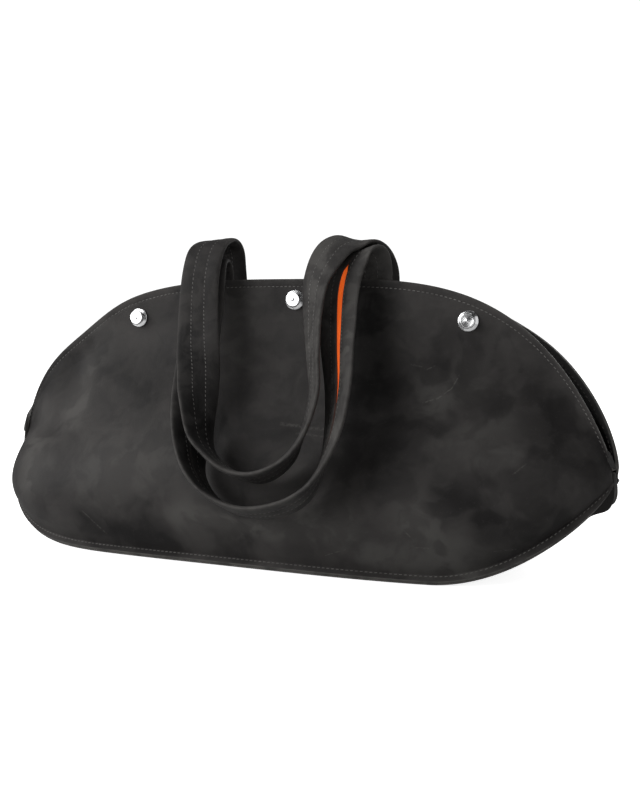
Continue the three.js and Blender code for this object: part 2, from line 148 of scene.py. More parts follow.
def wallPoint(shape, u, t):
    seam, edge, reach = seamPoint(shape, u), edgePoint(shape, u), reachAt(u)
    endShare = easeStep(np.abs(reach), shell["blendFrom"], shell["blendTo"])
    size = mix(shape["swellMid"], endValue(shape, u, "swell"), endShare)
    size = size * (1 - np.abs(reach) ** endValue(shape, u, "blunt"))
    amount = size * swellCurve(t, mix(shape["sagMid"], endValue(shape, u, "sag"), endShare))
    turn = shell["swellTurn"] * np.abs(reach) ** shell["tipPower"]
    lift = (shell["gap"] / 2 + shell["wall"]) * (1 - t) ** shell["layerFade"]
    place = np.stack([
        mix(seam[..., 0], edge[..., 0], t) + np.sign(reach) * np.sin(turn) * amount,
        mix(seam[..., 1], edge[..., 1], easeStep(t, shell["leanFrom"], shell["leanTo"]))
        + shape["facing"] * np.cos(turn) * amount,
        mix(seam[..., 2], edge[..., 2], t),
    ], -1)
    return place + rimFrame(shape, u)[1] * lift[..., None]


def panelPoint(shape, u, t):
    u, t = np.broadcast_arrays(np.asarray(u, float), np.asarray(t, float))
    low = wallPoint(shape, u, np.minimum(t, shell["hemShare"]))
    share = np.clip((t - shell["hemShare"]) / (1 - shell["hemShare"]), 0, 1)[..., None]
    straight = mix(low, wallPoint(shape, u, np.ones_like(t)), share)
    return mix(straight, wallPoint(shape, u, t), shell["hemSlack"])


def panelNormal(shape, u, t, step=0.004):
    u, t = np.broadcast_arrays(np.asarray(u, float), np.asarray(t, float))
    along = panelPoint(shape, np.minimum(1, u + step), t) - panelPoint(shape, np.maximum(-1, u - step), t)
    up = panelPoint(shape, u, np.minimum(1, t + step)) - panelPoint(shape, u, np.maximum(0, t - step))
    return unit(np.cross(along, up) * -shape["facing"])


# modelling helpers

def activate(piece):
    bpy.ops.object.select_all(action="DESELECT")
    piece.select_set(True)
    bpy.context.view_layer.objects.active = piece


def editWhole(piece, *steps):
    activate(piece)
    bpy.ops.object.mode_set(mode="EDIT")
    bpy.ops.mesh.select_all(action="SELECT")
    for step in steps:
        step()
    bpy.ops.object.mode_set(mode="OBJECT")


def gridPiece(name, points, flipped=False):
    # points: columns x rows x 3, in millimetres
    columns, rows = points.shape[:2]
    bpy.ops.mesh.primitive_grid_add(x_subdivisions=columns - 1, y_subdivisions=rows - 1, size=1)
    piece = bpy.context.object
    piece.name = piece.data.name = name
    piece.data.vertices.foreach_set("co", (points.transpose(1, 0, 2) * millimetre).reshape(-1))
    piece.data.update()
    if flipped:
        editWhole(piece, bpy.ops.mesh.flip_normals)
    return piece


def addLayer(piece, name, values):
    # values: columns x rows, one number for each vertex of the grid
    layer = piece.data.attributes.new(name, "FLOAT", "POINT")
    layer.data.foreach_set("value", np.ascontiguousarray(values.T, dtype=np.float32).reshape(-1))


def applyModifier(piece, kind, **settings):
    activate(piece)
    modifier = piece.modifiers.new(kind.lower(), kind)
    for key, value in settings.items():
        setattr(modifier, key, value)
    bpy.ops.object.modifier_apply(modifier=modifier.name)


def smoothShade(piece, angle):
    activate(piece)
    bpy.ops.object.shade_smooth_by_angle(angle=math.radians(angle))


def dress(piece, slotName, *nodes):
    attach(piece, "root")
    if nodes:
        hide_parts(*nodes)


# node helpers

def newMaterial(name):
    material = bpy.data.materials.new(name)
    material.use_nodes = True
    tree = material.node_tree
    return material, tree, tree.nodes["Principled BSDF"]


def newGroup(name, inputs, outputs):
    group = bpy.data.node_groups.new(name, "ShaderNodeTree")
    for label, kind, value in inputs:
        socket = group.interface.new_socket(name=label, in_out="INPUT", socket_type=kind)
        if value is not None:
            socket.default_value = value
    for label, kind in outputs:
        group.interface.new_socket(name=label, in_out="OUTPUT", socket_type=kind)
    return group, group.nodes.new("NodeGroupInput"), group.nodes.new("NodeGroupOutput")


def link(tree, source, target):
    tree.links.new(source, target)


def setOrLink(tree, socket, value):
    if isinstance(value, bpy.types.NodeSocket):
        tree.links.new(value, socket)
    else:
        socket.default_value = value


def fillInputs(tree, node, values):
    for label, value in values.items():
        setOrLink(tree, node.inputs[label], value)


def mathNode(tree, operation, *values, clamp=False):
    node = tree.nodes.new("ShaderNodeMath")
    node.operation, node.use_clamp = operation, clamp
    for socket, value in zip(node.inputs, values):
        setOrLink(tree, socket, value)
    return node.outputs[0]


def times(tree, first, second):
    return mathNode(tree, "MULTIPLY", first, second)


def vectorNode(tree, operation, *values):
    node = tree.nodes.new("ShaderNodeVectorMath")
    node.operation = operation
    for socket, value in zip(node.inputs, values):
        setOrLink(tree, socket, value)
    return node.outputs["Value" if operation in ("LENGTH", "DOT_PRODUCT") else "Vector"]


def scaleNode(tree, vector, factor):
    node = tree.nodes.new("ShaderNodeVectorMath")
    node.operation = "SCALE"
    setOrLink(tree, node.inputs[0], vector)
    setOrLink(tree, node.inputs["Scale"], factor)
    return node.outputs["Vector"]


def rangeNode(tree, value, low, high, toLow=0.0, toHigh=1.0, smooth=True):
    node = tree.nodes.new("ShaderNodeMapRange")
    node.interpolation_type = "SMOOTHSTEP" if smooth else "LINEAR"
    fillInputs(tree, node, {"Value": value, "From Min": low, "From Max": high,
                            "To Min": toLow, "To Max": toHigh})
    return node.outputs["Result"]


def noiseNode(tree, place, scale, detail=2.0, roughness=0.5, distortion=0.0):
    node = tree.nodes.new("ShaderNodeTexNoise")
    fillInputs(tree, node, {"Vector": place, "Scale": scale, "Detail": detail, "Roughness": roughness,
                            "Distortion": distortion})
    return node.outputs["Fac"]


def mixColour(tree, factor, first, second):
    node = tree.nodes.new("ShaderNodeMix")
    node.data_type = "RGBA"
    setOrLink(tree, node.inputs["Factor"], factor)
    setOrLink(tree, node.inputs[6], first)
    setOrLink(tree, node.inputs[7], second)
    return node.outputs[2]


def bumpNode(tree, height, strength, distance, normal=None):
    node = tree.nodes.new("ShaderNodeBump")
    fillInputs(tree, node, {"Height": height, "Strength": strength, "Distance": distance})
    if normal is not None:
        link(tree, normal, node.inputs["Normal"])
    return node.outputs["Normal"]


def groupNode(tree, group, **values):
    node = tree.nodes.new("ShaderNodeGroup")
    node.node_tree = group
    fillInputs(tree, node, values)
    return node


def objectPlace(tree):
    return tree.nodes.new("ShaderNodeTexCoord").outputs["Object"]


def layerValue(tree, name):
    node = tree.nodes.new("ShaderNodeAttribute")
    node.attribute_name = name
    return node.outputs["Fac"]


# marbled clouds of wax: broad patches drawn out into wisps, and small flecks
cloudSet = {
    "swirlScale": 1.6, "swirlDetail": 3.0, "push": 0.05, "broad": (4.0, 0.6, 0.4),
    "wispScale": 3.4, "wisp": (3.0, 0.5, 0.25), "wispRange": (0.39, 0.63),
    "fleckScale": 40.0, "fleckRange": (0.6, 0.78),
}


def makeCloudGroup():
    group, given, result = newGroup(
        "waxClouds",
        [("Place", "NodeSocketVector", None), ("Size", "NodeSocketFloat", 12.0),
         ("Spread", "NodeSocketFloat", 0.5)],
        [("Cloud", "NodeSocketFloat"), ("Wisp", "NodeSocketFloat"), ("Fleck", "NodeSocketFloat"),
         ("Drift", "NodeSocketVector")])
    place, size = given.outputs["Place"], given.outputs["Size"]
    swirl = group.nodes.new("ShaderNodeTexNoise")
    swirlScale = times(group, size, cloudSet["swirlScale"])
    fillInputs(group, swirl, {"Vector": place, "Scale": swirlScale, "Detail": cloudSet["swirlDetail"]})
    away = vectorNode(group, "SUBTRACT", swirl.outputs["Color"], (0.5, 0.5, 0.5))
    drift = vectorNode(group, "ADD", place, scaleNode(group, away, cloudSet["push"]))
    broad = noiseNode(group, drift, size, *cloudSet["broad"])
    wisp = noiseNode(group, drift, times(group, size, cloudSet["wispScale"]), *cloudSet["wisp"])
    fleck = noiseNode(group, place, times(group, size, cloudSet["fleckScale"]))
    half = times(group, given.outputs["Spread"], 0.5)
    low, high = mathNode(group, "SUBTRACT", 0.5, half), mathNode(group, "ADD", 0.5, half)
    fillInputs(group, result, {
        "Cloud": rangeNode(group, broad, low, high), "Wisp": rangeNode(group, wisp, *cloudSet["wispRange"]),
        "Fleck": rangeNode(group, fleck, *cloudSet["fleckRange"]), "Drift": drift,
    })
    return group


# close fine grain with pores
grainSet = {"cellShare": 0.5, "softScale": 0.35, "soft": (4.0, 0.6)}


def makeGrainGroup():
    group, given, result = newGroup(
        "fineGrain",
        [("Place", "NodeSocketVector", None), ("Scale", "NodeSocketFloat", 900.0)],
        [("Height", "NodeSocketFloat")])
    place, scale = given.outputs["Place"], given.outputs["Scale"]
    cells = group.nodes.new("ShaderNodeTexVoronoi")
    cells.feature = "SMOOTH_F1"
    fillInputs(group, cells, {"Vector": place, "Scale": scale})
    soft = noiseNode(group, place, times(group, scale, grainSet["softScale"]), *grainSet["soft"])
    cell = times(group, cells.outputs["Distance"], grainSet["cellShare"])
    link(group, mathNode(group, "ADD", cell, soft), result.inputs["Height"])
    return group


# one straight mark seen along Y, between two points of the X-Z plane
def makeMarkGroup():
    group, given, result = newGroup(
        "lineMark",
        [("Place", "NodeSocketVector", None), ("Start", "NodeSocketVector", (0, 0, 0)),
         ("End", "NodeSocketVector", (0, 0, 1)), ("Width", "NodeSocketFloat", 0.001)],
        [("Mask", "NodeSocketFloat")])
    flat = vectorNode(group, "MULTIPLY", given.outputs["Place"], (1, 0, 1))
    reach = vectorNode(group, "SUBTRACT", given.outputs["End"], given.outputs["Start"])
    away = vectorNode(group, "SUBTRACT", flat, given.outputs["Start"])
    share = mathNode(group, "DIVIDE", vectorNode(group, "DOT_PRODUCT", away, reach),
                     vectorNode(group, "DOT_PRODUCT", reach, reach), clamp=True)
    aside = vectorNode(group, "SUBTRACT", away, scaleNode(group, reach, share))
    distance = vectorNode(group, "LENGTH", aside)
    link(group, rangeNode(group, distance, 0.0, given.outputs["Width"], 1.0, 0.0), result.inputs["Mask"])
    return group


waxClouds, fineGrain, lineMark = makeCloudGroup(), makeGrainGroup(), makeMarkGroup()

leatherSet = {
    # the bloom and soot tints colour the patches listed below: pale and dark patches of the waxed leather,
    # and among them painted light and painted shade
    "deep": (0.0110, 0.0099, 0.0098, 1), "pale": (0.0380, 0.0354, 0.0340, 1),
    "sootAndShade": (0.0042, 0.0038, 0.0038, 1), "bloomAndLight": (0.058, 0.0556, 0.0525, 1),
    "rubbed": (0.060, 0.057, 0.054, 1), "mark": (0.085, 0.081, 0.075, 1),
    "rough": (0.58, 0.78), "spread": 0.30, "cloudShare": 0.66, "wispShare": 0.34, "fleckShare": 0.12,
    "bloomAndLightFade": (0.45, 1.0), "sootAndShadeFade": (1.0, 0.6), "wear": (160.0, 3.0),
    "wearRange": (0.3, 0.7, 0.35, 0.9), "breaks": (420.0, 3.0), "breakRange": (0.35, 0.65),
    "wrinkle": (46.0, 4.0, 0.6), "wrinkleBump": (0.35, 0.0016), "grainScale": 1100.0,
    "grainBump": (0.2, 0.00025), "specular": 0.16, "sheen": 0.02, "sheenRough": 0.6,
}
# soft light and dark places on the front, in metres: start and end in X-Z, half width, strength. Most are
# pale and dark patches of the waxed leather; some are painted light and painted shade, marked below
frontPaleAndLitPatches = [
    ((-0.203, 0.197), (-0.213, 0.133), 0.030, 0.77), ((-0.254, 0.102), (-0.244, 0.065), 0.034, 0.77),
    # both rows on the next line are partly painted light: leather made paler along the bottom, where the bag
    # turns down into shade
    ((-0.169, 0.079), (-0.094, 0.097), 0.050, 0.49), ((-0.065, 0.041), (0.085, 0.045), 0.024, 0.85),
    ((0.142, 0.050), (0.169, 0.026), 0.038, 0.9), ((0.135, 0.151), (0.170, 0.168), 0.022, 0.63),
    # painted light: the first row on the next line lifts the shade along the bottom right
    ((0.100, 0.026), (0.185, 0.018), 0.018, 0.7), ((0.194, 0.106), (0.216, 0.114), 0.014, 0.56),
    ((0.153, 0.113), (0.199, 0.128), 0.022, 0.42), ((-0.043, 0.244), (-0.041, 0.189), 0.026, 0.35),
]
frontDarkAndShadedPatches = [
    ((-0.194, 0.171), (-0.120, 0.156), 0.034, 0.70), ((-0.263, 0.149), (-0.249, 0.174), 0.026, 0.77),
    ((-0.188, 0.028), (-0.094, 0.019), 0.022, 0.75), ((-0.094, 0.019), (0.064, 0.020), 0.015, 0.2),
    # painted shadow: both rows on the next line darken the panel beside the front strap's right leg, where
    # the strap shades it
    ((0.080, 0.238), (0.080, 0.162), 0.040, 0.90), ((0.077, 0.126), (0.074, 0.094), 0.026, 0.56),
    ((0.145, 0.197), (0.189, 0.144), 0.026, 0.49), ((0.232, 0.149), (0.241, 0.115), 0.026, 0.63),
    ((0.175, 0.204), (0.212, 0.172), 0.024, 0.5), ((0.165, 0.075), (0.210, 0.045), 0.026, 0.75),
    ((0.219, 0.042), (0.249, 0.058), 0.030, 0.63),
]
# the same on the straps: painted light on the right legs, which face the lamps, and a paler band across the
# front loop's foot; painted shade down the left legs, which turn away
strapPaintedLight = [
    ((0.030, 0.290), (0.050, 0.170), 0.034, 0.75), ((0.080, 0.285), (0.076, 0.130), 0.032, 0.95),
    ((-0.020, 0.066), (0.045, 0.072), 0.022, 0.6),
]
strapPaintedShade = [
    ((-0.082, 0.262), (-0.078, 0.215), 0.040, 0.6), ((-0.078, 0.215), (-0.050, 0.120), 0.036, 0.75),
]
# handling marks on the front, in metres: start and end in X-Z, half width, strength
frontMarks = [
    ((0.134, 0.149), (0.146, 0.153), 0.0012, 0.55),
    ((0.146, 0.153), (0.156, 0.161), 0.0010, 0.6),
    ((0.156, 0.161), (0.161, 0.172), 0.0009, 0.45),
    ((0.118, 0.180), (0.128, 0.178), 0.0010, 0.4),
    ((0.133, 0.176), (0.139, 0.179), 0.0009, 0.4),
    ((0.130, 0.048), (0.137, 0.041), 0.0010, 0.45),
    ((0.138, 0.034), (0.149, 0.034), 0.0011, 0.5),
    ((0.200, 0.033), (0.216, 0.034), 0.0010, 0.4),
    ((0.060, 0.020), (0.078, 0.027), 0.0009, 0.4),
    ((0.012, 0.128), (0.060, 0.124), 0.0022, 0.4),
    ((0.028, 0.121), (0.056, 0.119), 0.0012, 0.3),
    ((-0.178, 0.041), (-0.156, 0.020), 0.0011, 0.45),
    ((0.213, 0.096), (0.222, 0.104), 0.0010, 0.4),
]


def strongest(tree, place, rows):
    # the strongest of a set of soft lines at each place
    total = None
    for start, end, width, strength in rows:
        ends = {"Start": (start[0], 0, start[1]), "End": (end[0], 0, end[1])}
        mask = groupNode(tree, lineMark, Place=place, Width=width, **ends)
        part = times(tree, mask.outputs["Mask"], strength)
        total = part if total is None else mathNode(tree, "MAXIMUM", total, part)
    return total


def makeLeather(name, marks=(), lights=(), darks=(), size=11.0, paleness=1.0):
    material, tree, shader = newMaterial(name)
    place = objectPlace(tree)
    clouds = groupNode(tree, waxClouds, Place=place, Size=size, Spread=leatherSet["spread"])
    cloud, wisp, drift = (clouds.outputs[label] for label in ("Cloud", "Wisp", "Drift"))
    pale = mixColour(tree, paleness, leatherSet["deep"], leatherSet["pale"])
    tone = mathNode(tree, "ADD", times(tree, cloud, leatherSet["cloudShare"]),
                    times(tree, wisp, leatherSet["wispShare"]))
    colour = mixColour(tree, tone, leatherSet["deep"], pale)
    # the patch tables mixed in here hold leather tones and also painted light and painted shade
    for patches, fade, tint in ((lights, "bloomAndLightFade", "bloomAndLight"), (darks, "sootAndShadeFade", "sootAndShade")):
        if patches:
            fading = rangeNode(tree, wisp, 0.0, 1.0, *leatherSet[fade])
            patch = times(tree, strongest(tree, drift, patches), fading)
            colour = mixColour(tree, patch, colour, leatherSet[tint])
    fleck = times(tree, clouds.outputs["Fleck"], leatherSet["fleckShare"])
    colour = mixColour(tree, fleck, colour, leatherSet["rubbed"])
    patchy = rangeNode(tree, noiseNode(tree, place, *leatherSet["wear"]), *leatherSet["wearRange"])
    worn = times(tree, layerValue(tree, "rub"), patchy)
    colour = mixColour(tree, worn, colour, leatherSet["rubbed"])
    if marks:
        broken = rangeNode(tree, noiseNode(tree, place, *leatherSet["breaks"]), *leatherSet["breakRange"])
        mark = times(tree, strongest(tree, place, marks), broken)
        colour = mixColour(tree, mark, colour, leatherSet["mark"])
    wrinkles = bumpNode(tree, noiseNode(tree, drift, *leatherSet["wrinkle"]), *leatherSet["wrinkleBump"])
    grain = groupNode(tree, fineGrain, Place=place, Scale=leatherSet["grainScale"]).outputs["Height"]
    fillInputs(tree, shader, {
        "Base Color": colour, "Normal": bumpNode(tree, grain, *leatherSet["grainBump"], wrinkles),
        "Roughness": rangeNode(tree, tone, 0.0, 1.0, *leatherSet["rough"], smooth=False),
        "Specular IOR Level": leatherSet["specular"], "Sheen Weight": leatherSet["sheen"],
        "Sheen Roughness": leatherSet["sheenRough"],
    })
    return material


# fibrous stuff: two fibre tones under blotches of a third; the orange core also glows a little, a painted
# glow that makes it brighter
fibreSet = {
    "leatherInside": {
        "fibre": (700.0, 5.0, 0.7), "tones": ((0.010, 0.0097, 0.0094, 1), (0.030, 0.029, 0.028, 1)),
        "cloud": (16.0, 0.6, 0.35), "blotchTone": (0.034, 0.033, 0.032, 1),
        "rough": (0.2, 0.8, 0.82, 0.96), "bump": (0.5, 0.0004),
    },
    "cutEdge": {
        "fibre": (900.0, 4.0, 0.7), "tones": ((0.040, 0.038, 0.035, 1), (0.105, 0.100, 0.092, 1)),
        "blotch": (90.0, 3.0), "blotchRange": (0.4, 0.65, 0.0, 0.6), "blotchTone": (0.016, 0.0152, 0.0142, 1),
        "rough": (0.2, 0.8, 0.6, 0.85), "bump": (0.4, 0.0003),
    },
    "thread": {
        "fibre": (2600.0, 2.0), "tones": ((0.055, 0.053, 0.05, 1), (0.15, 0.145, 0.137, 1)),
        "blotch": (70.0, 3.0), "blotchRange": (0.35, 0.65, 0.0, 0.6), "blotchTone": (0.04, 0.038, 0.036, 1),
        "rough": (0.2, 0.8, 0.55, 0.8), "bump": (0.6, 0.0002),
    },
    "orangeCore": {
        "fibre": (800.0, 4.0, 0.65), "tones": ((1.0, 0.115, 0.010, 1), (1.0, 0.17, 0.02, 1)),
        "blotch": (60.0, 2.0), "blotchRange": (0.4, 0.7, 0.0, 0.4), "blotchTone": (0.9, 0.09, 0.008, 1),
        "rough": (0.2, 0.8, 0.6, 0.85), "bump": (0.35, 0.0003), "glow": 0.38,
    },
}


def makeFibre(name):
    given = fibreSet[name]
    material, tree, shader = newMaterial(name)
    place = objectPlace(tree)
    fibre = noiseNode(tree, place, *given["fibre"])
    if "cloud" in given:
        size, spread, share = given["cloud"]
        cloud = groupNode(tree, waxClouds, Place=place, Size=size, Spread=spread).outputs["Cloud"]
        blotch = times(tree, cloud, share)
    else:
        blotch = rangeNode(tree, noiseNode(tree, place, *given["blotch"]), *given["blotchRange"])
    colour = mixColour(tree, blotch, mixColour(tree, fibre, *given["tones"]), given["blotchTone"])
    fillInputs(tree, shader, {
        "Base Color": colour, "Roughness": rangeNode(tree, fibre, *given["rough"]),
        "Normal": bumpNode(tree, fibre, *given["bump"]),
    })
    # painted glow: the core emits light though it is no lamp
    if "glow" in given:
        fillInputs(tree, shader, {"Emission Color": colour, "Emission Strength": given["glow"]})
    return material


# chrome turned on a lathe: the lights stretch across its fine rings
chromeSet = {
    "haze": (240.0, 4.0, 0.6), "tones": ((0.74, 0.745, 0.755, 1), (0.86, 0.86, 0.865, 1)),
    "rough": (0.3, 0.7, 0.2, 0.27), "fine": (2400.0, 2.0), "bump": (0.02, 0.0001),
    "stretch": 0.85, "quarterTurn": 0.25,
}


def makeChrome():
    material, tree, shader = newMaterial("chrome")
    place = objectPlace(tree)
    haze = noiseNode(tree, place, *chromeSet["haze"])
    fine = noiseNode(tree, place, *chromeSet["fine"])
    rings = tree.nodes.new("ShaderNodeTangent")
    rings.direction_type, rings.axis = "RADIAL", "Y"
    fillInputs(tree, shader, {
        "Base Color": mixColour(tree, haze, *chromeSet["tones"]), "Metallic": 1.0,
        "Roughness": rangeNode(tree, haze, *chromeSet["rough"]),
        "Normal": bumpNode(tree, fine, *chromeSet["bump"]), "Tangent": rings.outputs["Tangent"],
        "Anisotropic": chromeSet["stretch"], "Anisotropic Rotation": chromeSet["quarterTurn"],
    })
    return material


leatherFront = makeLeather("waxedLeatherFront", frontMarks, frontPaleAndLitPatches, frontDarkAndShadedPatches)
leatherBack = makeLeather("waxedLeatherBack", size=10.0)
leatherBase = makeLeather("waxedLeatherBase", size=13.0, paleness=0.7)
leatherStrap = makeLeather("waxedLeatherStrap", (), strapPaintedLight, strapPaintedShade, size=17.0, paleness=0.95)
insideFace, cutEdge, thread, orangeCore = (makeFibre(name) for name in fibreSet)
chrome = makeChrome()
print("materials ready")


# panels: rim rows by distance from the seam, wall rows by share, hem rows by distance from the mouth
panelSet = {
    "columns": 220, "wallRows": 46, "crowding": 1.15,
    "rimRows": (7.0, 6.4, 5.4, 4.2, 3.2, 2.4, 1.6, 0.8),
    "hemRows": (33.0, 29.0, 24.0, 19.0, 15.0, 12.0, 10.0, 8.8, 7.9, 7.0, 6.1, 5.2, 4.0, 2.8, 1.8, 1.0,
                0.4, 0.0),
    "hemStitch": 7.0, "rimStitch": 1.6, "rubReach": 1.5, "rimRub": 0.3, "hemStart": 0.002,
    "groove": 0.28, "grooveWidth": 1.1, "calmSeam": 0.12, "calmHem": (0.9, 0.98), "calmTip": 24,
    "edgeRound": 0.7, "bevelAngle": 62, "shadeAngle": 50,
}
# slack of the leather: height and length in X, Y and Z of long and short waves, millimetres
waveSet = {"long": (0.7, (70, 90, 60)), "short": (0.35, (28, 40, 26))}
# soft folds and hollows: X-Z line in millimetres, half width, height out of the face
frontFolds = [
    ((-290, 102), (-240, 112), 13, -3.2), ((-240, 112), (-226, 152), 15, -2.6),
    ((-226, 152), (-214, 182), 17, -1.4), ((-262, 128), (-250, 160), 14, 1.6),
    ((-268, 92), (-225, 98), 16, 1.4), ((84, 224), (92, 148), 17, -3.0),
    ((122, 214), (150, 150), 26, 1.4),
    ((276, 96), (205, 92), 8, -1.3), ((270, 88), (222, 80), 7, -0.9), ((272, 103), (216, 112), 9, 0.9),
    ((276, 94), (236, 88), 6, 0.7),
    ((-174, 38), (-152, 16), 4, -0.7), ((-150, 24), (-60, 22), 9, -0.8), ((40, 24), (130, 24), 9, -0.7),
    ((18, 128), (58, 124), 4, -0.35), ((150, 60), (200, 44), 16, 1.0),
]
backFolds = [
    ((-286, 104), (-236, 118), 14, -2.4), ((-236, 118), (-220, 158), 16, -1.8),
    ((276, 98), (214, 104), 9, -1.2), ((262, 86), (216, 78), 8, -0.9), ((-60, 210), (-40, 120), 24, -1.6),
    ((80, 200), (110, 110), 26, 1.4), ((-170, 40), (-130, 20), 7, -0.8), ((120, 30), (180, 24), 9, -0.7),
]


def foldHeight(points, folds):
    total = np.zeros(points.shape[:-1])
    flat = points[..., [0, 2]]
    for start, end, width, height in folds:
        start, end = np.array(start, float), np.array(end, float)
        reach = end - start
        share = np.clip(((flat - start) @ reach) / (reach @ reach), 0, 1)
        distance = np.linalg.norm(flat - start - share[..., None] * reach, axis=-1)
        total += height * np.exp(-((distance / width) ** 2))
    return total


def softWaves(points, seed):
    total = np.zeros(points.shape[:-1])
    for (height, length), shift in zip(waveSet.values(), ((seed, 0, 0), (0, seed, 0))):
        places = (points / length + shift).reshape(-1, 3)
        total += height * np.array([noise.noise(Vector(p)) for p in places]).reshape(total.shape)
    return total


def gridNormals(points, sign):
    return unit(np.cross(np.gradient(points, axis=0), np.gradient(points, axis=1)) * sign)


def hemHeight(shape, u):
    low = panelPoint(shape, u, np.full_like(u, shell["hemShare"]))
    return np.linalg.norm(panelPoint(shape, u, np.ones_like(u)) - low, axis=-1) / (1 - shell["hemShare"])


def rimRub():
    rows = np.array(panelSet["rimRows"])
    return panelSet["rimRub"] * np.exp(-(shell["rimWidth"] - rows) / panelSet["rubReach"])


def rimPoints(shape, u, start, rows):
    narrow = (rimAt(u) / shell["rimWidth"])[:, None, None]
    return start + rimFrame(shape, u)[0][:, None] * np.array(rows)[None, :, None] * narrow


def panelGrid(shape, folds):
    u = np.linspace(-1, 1, panelSet["columns"] + 1)
    rimCount = len(panelSet["rimRows"])
    seamSide = shell["hemShare"] * np.linspace(0, 1, panelSet["wallRows"]) ** panelSet["crowding"]
    hemSide = 1 - np.array(panelSet["hemRows"]) / (shell["edgeTop"] - shell["seamRoot"])
    hemFoot = shell["hemShare"] + panelSet["hemStart"]
    heights = np.concatenate([seamSide, [hemFoot], hemSide[hemSide > hemFoot]])
    uu, tt = np.meshgrid(u, heights, indexing="ij")
    body = panelPoint(shape, uu, tt)
    points = np.concatenate([rimPoints(shape, u, body[:, :1], panelSet["rimRows"]), body], axis=1)
    normals = gridNormals(points, -shape["facing"])
    calm = easeStep(heights, 0.0, panelSet["calmSeam"]) * (1 - easeStep(heights, *panelSet["calmHem"]))
    calm = np.concatenate([np.zeros(rimCount), calm])[None, :]
    calm = calm * (1 - np.abs(reachAt(u)) ** panelSet["calmTip"])[:, None]
    relief = (foldHeight(points, folds) + softWaves(points, shape["waveSeed"])) * calm
    fromEdge = (1 - tt) * hemHeight(shape, u)[:, None]
    fromStitch = (fromEdge - panelSet["hemStitch"]) / panelSet["grooveWidth"]
    relief[:, rimCount:] -= panelSet["groove"] * np.exp(-fromStitch ** 2)
    points = points + normals * relief[..., None]
    edgeRub = np.exp(-np.abs(fromEdge) / panelSet["rubReach"])
    rub = np.concatenate([np.broadcast_to(rimRub(), (len(u), rimCount)), edgeRub], axis=1)
    folded = np.concatenate([np.zeros(rimCount, bool), heights >= hemFoot])
    return points, rub, np.broadcast_to(folded, rub.shape)


def thicken(piece, leather, thickness, **settings):
    for material in (leather, insideFace, cutEdge):
        piece.data.materials.append(material)
    applyModifier(piece, "SOLIDIFY", thickness=thickness * millimetre, offset=-1.0,
                  material_offset=1, material_offset_rim=2, **settings)
    applyModifier(piece, "BEVEL", width=panelSet["edgeRound"] * millimetre, segments=2, limit_method="ANGLE",
                  angle_limit=math.radians(panelSet["bevelAngle"]))
    smoothShade(piece, panelSet["shadeAngle"])


def makePanel(name, shape, folds, leather):
    points, rub, folded = panelGrid(shape, folds)
    piece = gridPiece(name, points, flipped=shape["facing"] > 0)
    addLayer(piece, "rub", rub)
    hem = piece.vertex_groups.new(name="hem")
    hem.add(np.flatnonzero(folded.T.reshape(-1)).tolist(), 1.0, "REPLACE")
    full = shell["wall"] + shell["hemFold"]
    thicken(piece, leather, full, vertex_group="hem", thickness_vertex_group=shell["wall"] / full)
    return piece


frontPanel = makePanel("front_leather", frontShape, frontFolds, leatherFront)
dress(frontPanel, "leather", "front_panel")
backPanel = makePanel("back_leather", backShape, backFolds, leatherBack)
dress(backPanel, "leather", "back_panel")
print("panels done")


# base: between the two seams, flat on the floor and rising to the tips
baseSet = {
    "rows": 40, "crowding": 0.6, "flat": 0.84, "drop": 4.6, "lobeFrom": 0.92, "outPower": 12,
    "tuckPower": 50, "rise": 9, "leftDrop": 2, "leftOut": 2, "rightDrop": 15, "rightOut": 12,
}


def basePoint(u, s):
    layer = shell["gap"] / 2 + shell["wall"]
    front = seamPoint(frontShape, u) - rimFrame(frontShape, u)[1] * layer
    back = seamPoint(backShape, u) - rimFrame(backShape, u)[1] * layer
    point = mix(front, back, ((s + 1) / 2)[..., None])
    far, side = np.abs(reachAt(u)), np.sign(u)
    full = 1 - easeStep(np.abs(s), baseSet["flat"], 1)
    lobeDrop = np.where(u < 0, baseSet["leftDrop"], baseSet["rightDrop"])
    lobeOut = np.where(u < 0, baseSet["leftOut"], baseSet["rightOut"])
    tuck = far ** baseSet["tuckPower"]
    lobe = baseSet["drop"] + lobeDrop * easeStep(far, baseSet["lobeFrom"], 1)
    middle = np.maximum(0, point[..., 2] - mix(lobe, -baseSet["rise"] * (1 - s * s), tuck))
    point[..., 2] = mix(point[..., 2], middle, full)
    point[..., 0] += side * lobeOut * far ** baseSet["outPower"] * full * (1 - tuck)
    return point


def makeBase():
    u = np.linspace(-1, 1, panelSet["columns"] + 1)
    c = np.linspace(-1, 1, baseSet["rows"] + 1)
    s = np.sign(c) * np.abs(c) ** baseSet["crowding"]
    uu, ss = np.meshgrid(u, s, indexing="ij")
    body = basePoint(uu, ss)
    frontRim = rimPoints(frontShape, u, body[:, :1], panelSet["rimRows"])
    backRim = rimPoints(backShape, u, body[:, -1:], panelSet["rimRows"][::-1])
    points = np.concatenate([frontRim, body, backRim], axis=1)
    rub = np.concatenate([rimRub(), np.zeros(len(s)), rimRub()[::-1]])
    piece = gridPiece("base_leather", points, flipped=True)
    addLayer(piece, "rub", np.broadcast_to(rub, points.shape[:2]))
    thicken(piece, leatherBase, shell["wall"])
    return piece


basePiece = makeBase()
dress(basePiece, "leather", "base_gusset")
print("base done")


